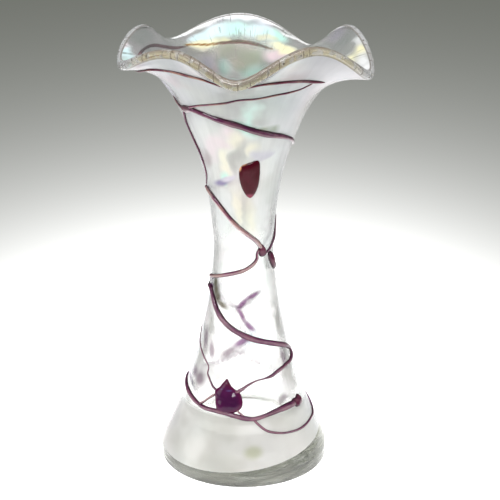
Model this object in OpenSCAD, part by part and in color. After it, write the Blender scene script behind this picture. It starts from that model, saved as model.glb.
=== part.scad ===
// Hand blown glass vase: a flared bubble with a ruffled lip on a thick clear foot,
// trailed with fused glass threads and dabs (prunts). Millimetres, +Z up.
// The origin is the centre of the ground face that the vase stands on.
//
// A place on the outer skin is given as [angle, station]. The angle turns about +Z from +X,
// and -Y (270 degrees) is the front. Up to the shoulder a station is the height in mm;
// above it, stations run on to lip_station at the lip.

/* [Lip] */
// Mean height of the lip's five crests, at the middle of the glass
crest_h = 248; // [244:0.5:252]
// Mean radius of the crests
crest_r = 63; // [58:0.5:66]
// Mean height of the five dips between them
dip_h = 234; // [228:0.5:240]
// Mean radius of the dips
dip_r = 68; // [64:0.5:72]
// Thickness of the fire polished lip
lip_t = 5.5; // [4:0.25:6]

/* [Body] */
// Radius of the foot at its widest
foot_r = 48.5; // [47:0.5:50]
// Radius of the waist, outside
waist_r = 17; // [16.5:0.25:18]
// Radius of the shoulder, where the flare starts
shoulder_r = 31; // [30:0.5:32]
// Wall thickness at the waist and in the flare
wall_t = 4; // [3.5:0.25:4.5]
// Wall thickness just above the floor of the inside
low_wall_t = 5.5; // [5:0.25:6]
// Height of the inside floor at the centre
floor_h = 20; // [19:0.5:22]

/* [Foot] */
// Height of the seam between clear foot and body, on the axis
seam_h = 14.5; // [14:0.5:16]
// Tilt of that seam in degrees
seam_tilt = 7.5; // [0:0.5:7.5]
// Angle about Z of the side where the seam is highest
seam_dir = 42; // [30:1:50]
// Radius of the rounded lower edge
edge_r = 2; // [1:0.5:4]

/* [Threads] */
// How far a thread or prunt is sunk into the skin
sink = 0.15; // [0.1:0.05:0.3]
// Height of a thread as a share of its width
thread_rise = 0.6; // [0.4:0.05:0.8]

/* [Hidden] */

$fn = 96;
shoulder_h = 199;
lip_station = 250;

// Outline of the body below the shoulder: [height, radius], with smooth curves between
outline = [[8, foot_r], [14, 46.7], [20, 43.7], [28, 40.2], [40, 35.5], [60, 29.1], [80, 24],
    [100, 20], [128, waist_r], [140, 17.6], [160, 19.8], [180, 24.1], [shoulder_h, shoulder_r]];
// Slope of the outline, radius over height, where the flare starts
shoulder_slope = 0.42;

// The ruffle, crest and dip in turn: [angle, change of radius, change of height] from the means
ruffle = [[20, 0.5, 0], [53, -4, -2], [92, 1.5, 0], [128, 1, 1], [159, -1.5, 0],
    [198, -1, 2.5], [234, -2.5, -1], [267, -0.5, 1], [304, -1, 1], [342, 2, -2.5]];
// How round the dips are, against a sharp fold at 0
dip_round = 0.3;

// The flare's curve: pulls at its two ends, and the lip's slope above level at dips and crests
shoulder_pull = 16;
dip_pull = 27;
crest_pull = 16;
dip_slope = -2;
crest_slope = 48;

// Sizes of the mesh of the body
around = 72;
seam_rings = 3;
outer_heights = [24, 32, 42, 53, 66, 80, 94, 108, 121, 134, 148, 162, 176, 188, 199];
flare_rings = 9;
inner_heights = [190, 178, 164, 150, 136, 122, 108, 94, 80, 66, 52, 40, 34];
// Inside floor, from the corner to the centre: [radius, height above floor_h]
floor_curve = [[29.5, 6], [25, 2.2], [14, 0.5]];

amethyst = [0.36, 0.11, 0.24];
pearl = [0.93, 0.94, 0.92, 0.5];
clear = [0.80, 0.84, 0.80, 0.5];

// ---- The skin of the vase --------------------------------------------------------------

// Number of entries in a sorted list of points whose first value is no more than x
function count_up_to(x, list) = len([for (p = list) if (p[0] <= x) 1]);

function knot_slope(i) =
    i == 0 ? -0.1 :
    i == len(outline) - 1 ? shoulder_slope :
    (outline[i + 1][1] - outline[i - 1][1]) / (outline[i + 1][0] - outline[i - 1][0]);

// Outside radius of the body at a height, as a smooth curve through the outline
function body_r(z) =
    let (
        i = max(0, min(len(outline) - 2, count_up_to(z, outline) - 1)),
        span = outline[i + 1][0] - outline[i][0],
        u = (z - outline[i][0]) / span,
        v = 1 - u
    )
    outline[i][1] * (1 + 2 * u) * v * v + outline[i + 1][1] * (1 + 2 * v) * u * u
        + span * u * v * (knot_slope(i) * v - knot_slope(i + 1) * u);

// Share of crest, 1 at a crest and 0 at a dip, from c, the cosine of the way between them
function crest_share(c) =
    (sqrt(c * c + dip_round * dip_round) - dip_round) / (sqrt(1 + dip_round * dip_round) - dip_round);

// Middle of the lip at an angle: [radius, height, share of crest]
function lip(angle) =
    let (
        first = ruffle[0][0],
        a = angle - 360 * floor((angle - first) / 360),
        i = count_up_to(a, ruffle) - 1,
        j = (i + 1) % len(ruffle),
        gap = ruffle[j][0] - ruffle[i][0] + (j == 0 ? 360 : 0),
        way = 90 * (a - ruffle[i][0]) / gap,
        from_crest = i % 2 == 0,
        share = crest_share(from_crest ? cos(way) : sin(way)),
        crest = ruffle[from_crest ? i : j],
        dip = ruffle[from_crest ? j : i]
    )
    [share * (crest_r + crest[1]) + (1 - share) * (dip_r + dip[1]),
     share * (crest_h + crest[2]) + (1 - share) * (dip_h + dip[2]),
     share];

function between(low, high, share) = low + (high - low) * share;

// The flare at t, from 0 at the shoulder to 1 at the lip: [radius, height]
function flare(t, angle) =
    let (
        edge = lip(angle),
        slope = between(dip_slope, crest_slope, edge[2]),
        pull = between(dip_pull, crest_pull, edge[2]),
        start = [shoulder_r, shoulder_h],
        start_dir = [shoulder_slope, 1] / norm([shoulder_slope, 1]),
        end = [edge[0], edge[1]] + lip_t / 2 * [sin(slope), -cos(slope)],
        u = 1 - t
    )
    u * u * u * start + 3 * u * u * t * (start + shoulder_pull * start_dir)
        + 3 * u * t * t * (end - pull * [cos(slope), sin(slope)]) + t * t * t * end;

// A point of the outer skin in its meridian plane: [radius, height]
function skin(station, angle) =
    station <= shoulder_h ? [body_r(station), station]
        : flare((station - shoulder_h) / (lip_station - shoulder_h), angle);

function in_space(rz, angle) = [rz[0] * cos(angle), rz[0] * sin(angle), rz[1]];

// Unit vector up along the meridian, and the outward normal in the meridian plane
function rise(station, angle) =
    let (d = skin(min(station + 0.2, lip_station), angle) - skin(station - 0.2, angle))
    d / norm(d);
function outward(station, angle) =
    let (d = rise(station, angle))
    [d[1], -d[0]];

// Outward normal of the skin in space
function skin_normal(angle, station) =
    let (
        up = in_space(skin(station + 0.2, angle), angle) - in_space(skin(station - 0.2, angle), angle),
        across = in_space(skin(station, angle + 0.5), angle + 0.5)
            - in_space(skin(station, angle - 0.5), angle - 0.5),
        n = cross(across, up)
    )
    n / norm(n);

// ---- Body and foot ---------------------------------------------------------------------

function seam_at(angle) =
    let (z = seam_h + tan(seam_tilt) * 46 * cos(angle - seam_dir))
    seam_h + tan(seam_tilt) * body_r(z) * cos(angle - seam_dir);

function wall_at(station) =
    station > shoulder_h ? between(wall_t, lip_t, (station - shoulder_h) / (lip_station - shoulder_h))
        : station < 80 ? between(low_wall_t, wall_t, (station - 34) / 46)
        : wall_t;

function inner_point(station, angle) =
    skin(station, angle) - wall_at(station) * outward(station, angle);

// One meridian of the body, from the seam up the outside, over the lip and down to the floor
function meridian(angle) =
    let (
        seam = seam_at(angle),
        middle = skin(lip_station, angle) - lip_t / 2 * outward(lip_station, angle),
        flare_step = (lip_station - shoulder_h) / flare_rings
    )
    concat(
        [for (k = [0 : seam_rings - 1])
            let (z = between(seam, outer_heights[0], k / seam_rings)) [body_r(z), z]],
        [for (z = outer_heights) [body_r(z), z]],
        [for (k = [1 : flare_rings]) skin(shoulder_h + k * flare_step, angle)],
        [for (b = [45, 90, 135])
            middle + lip_t / 2 * (cos(b) * outward(lip_station, angle) + sin(b) * rise(lip_station, angle))],
        [for (k = [flare_rings : -1 : 0]) inner_point(shoulder_h + k * flare_step, angle)],
        [for (z = inner_heights) inner_point(z, angle)],
        [for (p = floor_curve) [p[0], floor_h + p[1]]]
    );

// A closed solid from rings of equal length, with a flat fan on the first and last ring
module ring_solid(rings, first_middle, last_middle) {
    m = len(rings);
    n = len(rings[0]);
    points = concat([for (r = rings) each r], [first_middle, last_middle]);
    faces = concat(
        [for (i = [0 : m - 2]) for (k = [0 : n - 1])
            let (a = i * n + k, b = i * n + (k + 1) % n)
            each [[a, a + n, b], [b, a + n, b + n]]],
        [for (k = [0 : n - 1]) [m * n, k, (k + 1) % n]],
        [for (k = [0 : n - 1])
            [m * n + 1, (m - 1) * n + (k + 1) % n, (m - 1) * n + k]]
    );
    polyhedron(points = points, faces = faces, convexity = 6);
}

module blown_body() {
    step = 360 / around;
    meridians = [for (k = [0 : around - 1]) meridian(k * step)];
    rings = [for (i = [0 : len(meridians[0]) - 1])
        [for (k = [0 : around - 1]) in_space(meridians[k][i], k * step)]];
    color(pearl) ring_solid(rings, [0, 0, seam_h], [0, 0, floor_h]);
}

// Thick clear gather that the body stands on, ground flat underneath
module clear_foot() {
    top = 24;
    side = [for (z = [top : -1 : 8]) [body_r(z), z]];
    edge = [for (b = [0 : 15 : 90]) [foot_r - edge_r + edge_r * cos(b), edge_r - edge_r * sin(b)]];
    color(clear)
        difference() {
            rotate_extrude() polygon(concat([[0, top]], side, edge, [[0, 0]]));
            translate([0, 0, seam_h])
                rotate([0, 0, seam_dir])
                rotate([0, -seam_tilt, 0])
                translate([-80, -80, 0])
                cube([160, 160, 40]);
        }
}

// ---- Threads ---------------------------------------------------------------------------

// Catmull-Rom curve between p1 and p2
function curve_point(p0, p1, p2, p3, t) =
    (2 * p1 + (p2 - p0) * t + (2 * p0 - 5 * p1 + 4 * p2 - p3) * t * t
        + (3 * p1 - p0 - 3 * p2 + p3) * t * t * t) / 2;
function smooth(route, steps) =
    let (last = len(route) - 1)
    concat(
        [for (i = [0 : last - 1]) for (k = [0 : steps - 1])
            curve_point(route[max(i - 1, 0)], route[i], route[i + 1], route[min(i + 2, last)], k / steps)],
        [route[last]]
    );

// A trailed thread along a route of [angle, station, width], with a D section on the skin
module trail(route, steps = 2) {
    stops = smooth(route, steps);
    last = len(stops) - 1;
    centres = [for (p = stops) in_space(skin(p[1], p[0]), p[0])];
    normals = [for (p = stops) skin_normal(p[0], p[1])];
    rings = [for (i = [0 : last])
        let (
            ahead = centres[min(i + 1, last)] - centres[max(i - 1, 0)],
            side = cross(ahead, normals[i]) / norm(cross(ahead, normals[i])),
            w = stops[i][2],
            half = w / 2,
            tall = thread_rise * w
        )
        [for (b = [0 : 30 : 180])
            centres[i] + half * cos(b) * side + (tall * sin(b) - sink) * normals[i]]];
    ring_middle = function (r) (r[0] + r[3] + r[6]) / 3;
    color(amethyst) ring_solid(rings, ring_middle(rings[0]), ring_middle(rings[last]));
}

// A dab of glass pressed on the skin. Its outline is a list of [angle, station] seen from its
// middle at [angle, station], and it rises in a low dome.
module dab(middle, outline_points, tall) {
    shares = [1, 0.94, 0.8, 0.58, 0.3];
    rounded = smooth(concat(outline_points, [outline_points[0]]), 3);
    n = len(rounded) - 1;
    rings = [for (s = shares)
        [for (k = [0 : n - 1])
            let (
                p = middle + (rounded[k] - middle) * s,
                lift = tall * sqrt(1 - s * s) - sink
            )
            in_space(skin(p[1], p[0]), p[0]) + lift * skin_normal(p[0], p[1])]];
    top = in_space(skin(middle[1], middle[0]), middle[0]) + (tall - sink) * skin_normal(middle[0], middle[1]);
    under = in_space(skin(middle[1], middle[0]), middle[0]) - sink * skin_normal(middle[0], middle[1]);
    base = [for (s = [0.35, 0.7])
        [for (k = [0 : n - 1])
            let (p = middle + (rounded[k] - middle) * s)
            in_space(skin(p[1], p[0]), p[0]) - sink * skin_normal(p[0], p[1])]];
    color(amethyst) ring_solid(concat(base, rings), under, top);
}

// Round the lip from behind, in and out below its crests
rim_route = [[70, 237.5, 0.8], [82, 236, 1.4], [98, 236.5, 1.8], [112, 239, 1.6], [124, 242, 1.6],
    [136, 241, 2.2], [150, 239, 2.4], [165, 240, 1.8], [180, 242.5, 1.6], [196, 245, 1.6],
    [212, 244.5, 1.7], [226, 240.8, 1.7], [239, 239, 1.8], [252, 242, 1.6], [264, 243, 1.5],
    [276, 241.5, 1.6], [289, 236.2, 1.8], [301, 233, 1.9], [314, 232.6, 2.2], [326, 235, 1]];
collar_route = [[316, 231.5, 1], [309, 227.5, 1.2], [300, 226.2, 1.4], [288, 226.8, 1.4],
    [277, 226.5, 1.5], [265, 224.8, 1.4], [253, 222.8, 1.4], [241, 219.8, 1.4], [230, 217.6, 1.5],
    [220, 216, 1.8]];
spur_route = [[190, 219, 0.7], [193, 216.3, 1.6], [198, 213.8, 1.8], [210, 214.6, 2]];
side_route = [[208, 212, 2], [202, 206, 1.9], [201, 200, 1.8], [202, 194, 1.8], [205, 188, 1.7],
    [206, 183, 1.6], [207, 178, 1.4], [206, 173.5, 1.3], [200, 169.5, 1.1], [193, 166.5, 1.4]];
// From the collar knot down across the front, round the back and out at the left again
shoulder_route = [[220, 215.5, 2.4], [227, 215.5, 2.8], [234, 214.2, 3], [243, 212.5, 3.2],
    [252, 210.8, 3.4], [262, 208.4, 3.6], [274, 205.6, 3.6], [287, 202.6, 3.8], [300, 200.2, 3.4],
    [314, 198, 3], [330, 195, 2.6], [346, 191.5, 2.2], [362, 188.5, 2], [382, 185.5, 1.8],
    [404, 181, 1.6], [422, 173, 1.6], [440, 166.5, 1.6], [460, 162.5, 1.8], [482, 161, 1.8],
    [506, 160.5, 1.8], [530, 162.5, 2], [551, 164.8, 2.4]];
neck_route = [[192, 165, 2.4], [206, 163.2, 3], [220, 159.6, 3.2], [233, 155.2, 3.2], [247, 150, 3],
    [262, 145.2, 2.8], [280, 140.4, 2.8], [297, 135.8, 2.8], [307, 131, 2.6]];
waist_spur_route = [[356, 148, 0.8], [357, 142.5, 1.4], [356, 137, 2], [340, 132.5, 2],
    [324, 129, 1.8], [312, 128.5, 1.8]];
waist_route = [[303, 132, 1.8], [297, 129, 1.6], [296, 126, 1.8], [288, 123, 2.2], [272, 120, 2.4],
    [253, 118, 2.4], [233, 116, 2.2], [214, 114, 2.2], [198, 112.5, 2.4], [182, 111, 2.4],
    [168, 108, 2.4]];
hip_route = [[164, 108.5, 2.4], [163, 105.8, 2.4], [172, 104.4, 2.6], [186, 105.4, 2.8],
    [198, 105.6, 3], [208, 102.8, 3.2], [221, 96.8, 3.2], [235, 91.4, 3.3], [250, 87.2, 3.4],
    [265, 84, 3.4], [279, 81.4, 3.4], [293, 79.2, 3.4], [308, 77, 3.4], [326, 74, 3.2],
    [341, 70.8, 2.8], [351, 67.6, 2.4]];
hip_return_route = [[349, 68.2, 2.2], [350, 64.6, 2.4], [340, 62.4, 2.4], [326, 61.8, 2.4],
    [312, 60.4, 2.2], [302, 58.8, 1.8], [293, 58.2, 1], [284, 57.6, 1], [275, 55.6, 1.4],
    [267, 52.8, 2], [260, 50.8, 2.4]];
leaf_thread_route = [[166, 80, 0.6], [176, 79.5, 0.8], [184, 77.5, 0.9], [189, 74, 1], [199, 71, 1],
    [213, 67, 1], [225, 63, 0.9], [226, 59, 1], [230, 56.5, 1.2], [236, 53, 1.4], [241, 51.5, 1.6]];
strut_route = [[223, 41.2, 1.6], [228, 43, 1.4], [233, 45.8, 1.4], [240, 49, 1.8]];
vein_route = [[261, 43.5, 1.2], [266, 40.8, 1.2], [271, 38.5, 1.3]];
base_route = [[140, 46, 1.6], [158, 46.5, 1.8], [174, 47, 2.2], [187, 46.2, 2.6], [198, 44.8, 2.8],
    [209, 43.2, 2.8], [220, 41.6, 2.6], [231, 40.4, 2.6], [243, 40.4, 2.6], [253, 40, 2.8],
    [262, 39, 3], [271, 37.8, 2.8], [280, 37.3, 2.4], [291, 38.5, 2.6], [301, 39.6, 3.2],
    [313, 40.2, 3.8], [325, 40.3, 4.2]];
// A thin loop that leaves the base thread and runs round to the back
loop_route = [[279, 37, 1.6], [284, 33.5, 1.4], [291, 30, 1.4], [303, 27.5, 1.3], [314, 26.5, 1.3],
    [325, 26, 1.4], [341, 26.5, 1.6], [359, 27, 1.8], [370, 30.5, 1.6], [384, 35, 1.4],
    [402, 39, 1.3], [422, 42, 1.3], [440, 45, 1.4], [452, 51, 1.5]];
back_route = [[60, 96, 1.2], [68, 93, 2], [82, 87.5, 2.2], [94, 83, 2], [97, 77.5, 1.6],
    [91, 71, 1.8], [85, 63, 2.2], [90, 54.5, 2.2], [103, 48.5, 2.2], [120, 46, 2], [138, 46, 1.8]];
branch_route = [[97, 83, 1.6], [112, 85.5, 1.8], [128, 91, 1.8], [145, 98, 2], [160, 104, 2.2]];

module rim_thread() trail(rim_route);
module collar_thread() trail(collar_route);
module collar_spur() trail(spur_route);
module side_thread() trail(side_route);
module shoulder_thread() trail(shoulder_route);
module neck_thread() trail(neck_route);
module waist_spur() trail(waist_spur_route);
module waist_thread() trail(waist_route);
module hip_thread() trail(hip_route);
module hip_return_thread() trail(hip_return_route);
module leaf_thread() trail(leaf_thread_route);
module leaf_strut() trail(strut_route);
module leaf_vein() trail(vein_route);
module base_thread() trail(base_route);
module loop_thread() trail(loop_route);
module back_thread() trail(back_route);
module back_branch() trail(branch_route);

module collar_knot()
    dab([217, 215], [[206, 213.6], [213, 217], [224, 217.4], [229, 215.2], [219, 212.8]], 2);

module waist_knot()
    dab([308, 130.2], [[299, 131.5], [304, 134.5], [313, 132.4], [319, 128.4], [311, 126.6],
        [302, 127.4]], 2.1);

module waist_drop()
    dab([336, 122.5], [[323, 127], [334, 128], [347, 123], [352, 117], [342, 116.6], [330, 120.6]], 2);

// A flattened teardrop with a slanting top
module teardrop_prunt()
    dab([278, 174.5], [[264.5, 178.5], [267.5, 182], [277, 184], [289, 185], [292.5, 179.5], [293, 172],
        [289.5, 166.3], [282, 162.8], [274.5, 164.3], [268, 168.8], [265, 173.5]], 2.6);

// A leaf pulled to a point at the top, with a ragged edge
module leaf_prunt()
    dab([254, 46.5], [[252, 58.5], [257, 55], [262, 53], [266.5, 51.5], [269, 48], [269, 44.5],
        [266, 42], [260, 40.3], [252, 39.3], [246, 40], [242.5, 43.5], [241, 47], [239.5, 51],
        [244, 53.6], [248, 56.5]], 2.4);

module bud_prunt()
    dab([331, 40], [[323, 42.3], [329, 42.6], [334, 43.6], [339, 39.6], [335.5, 37.2],
        [326, 37.6]], 2.3);

module back_prunt()
    dab([148, 46], [[140, 46], [144, 50.6], [151, 52], [157, 47.5], [154, 42], [145, 40.6]], 2.4);

blown_body();
clear_foot();
rim_thread();
collar_thread();
collar_spur();
collar_knot();
side_thread();
shoulder_thread();
neck_thread();
waist_knot();
waist_spur();
waist_drop();
waist_thread();
hip_thread();
hip_return_thread();
teardrop_prunt();
leaf_prunt();
leaf_thread();
leaf_strut();
leaf_vein();
base_thread();
bud_prunt();
loop_thread();
back_thread();
back_branch();
back_prunt();
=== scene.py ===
"""Looks for the hand blown vase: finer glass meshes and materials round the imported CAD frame.

Shapes are worked out in millimetres on the vase's skin, where a place is (angle, station):
the angle turns about +Z from +X, and the front is -Y at 270 degrees. Up to the shoulder a
station is the height; above it, stations run on to LIP_STATION at the lip.
"""
import math

import bpy
import numpy as np
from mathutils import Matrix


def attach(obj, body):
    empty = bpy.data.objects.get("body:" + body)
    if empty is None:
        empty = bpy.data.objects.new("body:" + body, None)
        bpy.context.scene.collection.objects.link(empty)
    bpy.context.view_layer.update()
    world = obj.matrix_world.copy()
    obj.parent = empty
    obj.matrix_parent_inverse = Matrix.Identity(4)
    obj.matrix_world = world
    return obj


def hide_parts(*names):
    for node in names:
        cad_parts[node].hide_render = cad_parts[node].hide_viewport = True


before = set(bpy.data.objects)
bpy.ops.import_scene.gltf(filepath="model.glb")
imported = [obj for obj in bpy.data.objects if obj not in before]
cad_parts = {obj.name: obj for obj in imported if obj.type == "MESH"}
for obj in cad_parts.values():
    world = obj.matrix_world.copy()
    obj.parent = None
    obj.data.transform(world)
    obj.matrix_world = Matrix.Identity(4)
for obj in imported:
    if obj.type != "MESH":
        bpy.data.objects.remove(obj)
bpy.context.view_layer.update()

MM = 0.001

# ---- Sizes, as in the CAD part ----------------------------------------------------------

CREST_H, CREST_R = 248.0, 63.0
DIP_H, DIP_R = 234.0, 68.0
LIP_T = 5.5
FOOT_R, WAIST_R, SHOULDER_R = 48.5, 17.0, 31.0
WALL_T, LOW_WALL_T, FLOOR_H = 4.0, 5.5, 20.0
SEAM_H, SEAM_TILT, SEAM_DIR = 14.5, 7.5, 42.0
EDGE_R = 2.0
SINK, THREAD_RISE = 0.15, 0.6
SHOULDER_H, LIP_STATION = 199.0, 250.0
# Heights of the foot's straight side, of the first level ring over the seam, and of the inside's corner
FOOT_SIDE_H, LEVEL_H, CORNER_H = 8, 24, 34
# Rise over which the wall thins from LOW_WALL_T to WALL_T
THINNING_H = 46
# Rough radius at the seam, from which its true place is found
SEAM_R = 46
# Polished hollow in the ground underside, which the CAD part leaves flat
HOLLOW_R, HOLLOW_H = 13, 0.9

# Height and outside radius up the body
OUTLINE = np.array([
    (8, FOOT_R), (14, 46.7), (20, 43.7), (28, 40.2), (40, 35.5), (60, 29.1), (80, 24),
    (100, 20), (128, WAIST_R), (140, 17.6), (160, 19.8), (180, 24.1), (SHOULDER_H, SHOULDER_R)])
SHOULDER_SLOPE = 0.42
# Crest and dip in turn: angle, change of radius, change of height from the means
RUFFLE = np.array([
    (20, 0.5, 0), (53, -4, -2), (92, 1.5, 0), (128, 1, 1), (159, -1.5, 0),
    (198, -1, 2.5), (234, -2.5, -1), (267, -0.5, 1), (304, -1, 1), (342, 2, -2.5)])
DIP_ROUND = 0.3
SHOULDER_PULL, DIP_PULL, CREST_PULL = 16.0, 27.0, 16.0
DIP_SLOPE, CREST_SLOPE = -2.0, 48.0
# Inside floor, from the corner to the centre: radius, height above FLOOR_H
FLOOR_CURVE = [(29.5, 6), (25, 2.2), (14, 0.5), (0, 0)]

# ---- The skin ---------------------------------------------------------------------------

_slopes = np.empty(len(OUTLINE))
_slopes[1:-1] = (OUTLINE[2:, 1] - OUTLINE[:-2, 1]) / (OUTLINE[2:, 0] - OUTLINE[:-2, 0])
_slopes[0], _slopes[-1] = -0.1, SHOULDER_SLOPE


def body_r(z):
    """Outside radius of the body at heights z."""
    z = np.asarray(z, float)
    i = np.clip(np.searchsorted(OUTLINE[:, 0], z, side="right") - 1, 0, len(OUTLINE) - 2)
    span = OUTLINE[i + 1, 0] - OUTLINE[i, 0]
    u = (z - OUTLINE[i, 0]) / span
    v = 1 - u
    ends = OUTLINE[i, 1] * (1 + 2 * u) * v * v + OUTLINE[i + 1, 1] * (1 + 2 * v) * u * u
    return ends + span * u * v * (_slopes[i] * v - _slopes[i + 1] * u)


def lip(angle):
    """Middle of the lip: radius, height, and the share of crest from 0 to 1."""
    starts = RUFFLE[:, 0]
    a = starts[0] + (np.asarray(angle, float) - starts[0]) % 360
    i = np.searchsorted(starts, a, side="right") - 1
    j = (i + 1) % len(RUFFLE)
    gap = (starts[j] - starts[i]) % 360
    way = np.radians(90 * (a - starts[i]) / gap)
    from_crest = i % 2 == 0
    c = np.where(from_crest, np.cos(way), np.sin(way))
    share = (np.sqrt(c * c + DIP_ROUND ** 2) - DIP_ROUND) / (math.sqrt(1 + DIP_ROUND ** 2) - DIP_ROUND)
    crest = RUFFLE[np.where(from_crest, i, j)]
    dip = RUFFLE[np.where(from_crest, j, i)]
    r = share * (CREST_R + crest[..., 1]) + (1 - share) * (DIP_R + dip[..., 1])
    z = share * (CREST_H + crest[..., 2]) + (1 - share) * (DIP_H + dip[..., 2])
    return r, z, share


def flare(t, angle):
    """Outer skin of the flare, from the shoulder at t = 0 to the lip at 1: radius, height."""
    r_end, z_end, share = lip(angle)
    slope = np.radians(DIP_SLOPE + (CREST_SLOPE - DIP_SLOPE) * share)
    pull = DIP_PULL + (CREST_PULL - DIP_PULL) * share
    reach = SHOULDER_PULL / math.hypot(SHOULDER_SLOPE, 1)
    r_end = r_end + LIP_T / 2 * np.sin(slope)
    z_end = z_end - LIP_T / 2 * np.cos(slope)
    u = 1 - t
    weights = (u ** 3, 3 * u * u * t, 3 * u * t * t, t ** 3)
    rs = (SHOULDER_R, SHOULDER_R + reach * SHOULDER_SLOPE, r_end - pull * np.cos(slope), r_end)
    zs = (SHOULDER_H, SHOULDER_H + reach, z_end - pull * np.sin(slope), z_end)
    return sum(w * r for w, r in zip(weights, rs)), sum(w * z for w, z in zip(weights, zs))


def skin(station, angle):
    """Outer skin in the meridian plane, for arrays of one shape: radius, height."""
    station, angle = np.broadcast_arrays(np.asarray(station, float), np.asarray(angle, float))
    t = np.clip((station - SHOULDER_H) / (LIP_STATION - SHOULDER_H), 0, 1)
    r_up, z_up = flare(t, angle)
    low = station <= SHOULDER_H
    r_low = body_r(np.minimum(station, SHOULDER_H))
    return np.where(low, r_low, r_up), np.where(low, station, z_up)


def in_space(r, z, angle):
    """Points in space from radius, height and angle."""
    a = np.radians(angle)
    return np.stack([r * np.cos(a), r * np.sin(a), z + 0 * r], axis=-1)


def meridian_frame(station, angle):
    """Unit vector up along the meridian, and the outward normal, both as (radius, height)."""
    r1, z1 = skin(np.minimum(np.asarray(station) + 0.2, LIP_STATION), angle)
    r0, z0 = skin(np.asarray(station) - 0.2, angle)
    length = np.hypot(r1 - r0, z1 - z0)
    rise = ((r1 - r0) / length, (z1 - z0) / length)
    return rise, (rise[1], -rise[0])


def skin_point(angle, station):
    r, z = skin(station, angle)
    return in_space(r, z, angle)


def unit(v):
    return v / np.linalg.norm(v, axis=-1, keepdims=True)


def skin_normal(angle, station):
    up = skin_point(angle, np.minimum(station + 0.2, LIP_STATION)) - skin_point(angle, station - 0.2)
    across = skin_point(angle + 0.5, station) - skin_point(angle - 0.5, station)
    return unit(np.cross(across, up))


def wall_at(station):
    """Thickness of the wall."""
    station = np.asarray(station, float)
    flare_share = np.clip((station - SHOULDER_H) / (LIP_STATION - SHOULDER_H), 0, 1)
    low_share = np.clip((station - CORNER_H) / THINNING_H, 0, 1)
    upper = WALL_T + (LIP_T - WALL_T) * flare_share
    return np.where(station > SHOULDER_H, upper, LOW_WALL_T + (WALL_T - LOW_WALL_T) * low_share)


def seam_at(angle):
    """Height of the slanted seam between foot and body, at the outside."""
    tilt = math.tan(math.radians(SEAM_TILT))
    lean = np.cos(np.radians(np.asarray(angle, float) - SEAM_DIR))
    return SEAM_H + tilt * body_r(SEAM_H + tilt * SEAM_R * lean) * lean


# ---- Mesh helpers -----------------------------------------------------------------------

def ring_mesh(name, rings, first_middle, last_middle, materials, bands, across, sharp_rings=()):
    """A closed mesh from rings of equal length with a fan at both ends.

    bands holds one material number for the first fan, each gap between rings, and the last fan.
    across is a number for every ring point, or an array that spreads to them, kept as an attribute
    for the material to read.
    """
    m, n = rings.shape[:2]
    points = np.concatenate([rings.reshape(-1, 3), [first_middle], [last_middle]]) * MM
    k = np.arange(n)
    nxt = (k + 1) % n
    faces, kinds = [], []
    for i in range(m - 1):
        quads = np.stack([i * n + k, i * n + nxt, (i + 1) * n + nxt, (i + 1) * n + k], axis=1)
        faces += quads.tolist()
        kinds += [bands[i + 1]] * n
    first = np.stack([np.full(n, m * n), nxt, k], axis=1)
    last = np.stack([np.full(n, m * n + 1), (m - 1) * n + k, (m - 1) * n + nxt], axis=1)
    faces += first.tolist() + last.tolist()
    kinds += [bands[0]] * n + [bands[-1]] * n
    corners = points[[f[:3] for f in faces]]
    volume = np.einsum("ij,ij->", corners[:, 0], np.cross(corners[:, 1], corners[:, 2]))
    if volume < 0:
        faces = [f[::-1] for f in faces]
    mesh = bpy.data.meshes.new(name)
    mesh.from_pydata(points.tolist(), [], faces)
    across = np.broadcast_to(across, (m, n)).astype(float)
    values = np.concatenate([across.ravel(), [across[0].mean(), across[-1].mean()]])
    mesh.attributes.new("across", "FLOAT", "POINT").data.foreach_set("value", values)
    mesh.polygons.foreach_set("material_index", kinds)
    mesh.polygons.foreach_set("use_smooth", [True] * len(faces))
    if sharp_rings:
        sharp = set()
        for i in sharp_rings:
            sharp |= {(i * n + a, i * n + b) for a, b in zip(k.tolist(), nxt.tolist())}
        for edge in mesh.edges:
            a, b = edge.vertices
            if (a, b) in sharp or (b, a) in sharp:
                edge.use_edge_sharp = True
    for material in materials:
        mesh.materials.append(material)
    mesh.update()
    piece = bpy.data.objects.new(name, mesh)
    bpy.context.scene.collection.objects.link(piece)
    return piece


def stand_for(piece, node):
    """Puts a finished piece in a CAD node's place, on the vase's one body."""
    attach(piece, "root")
    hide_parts(node)
    return piece


# ---- Materials --------------------------------------------------------------------------

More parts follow.
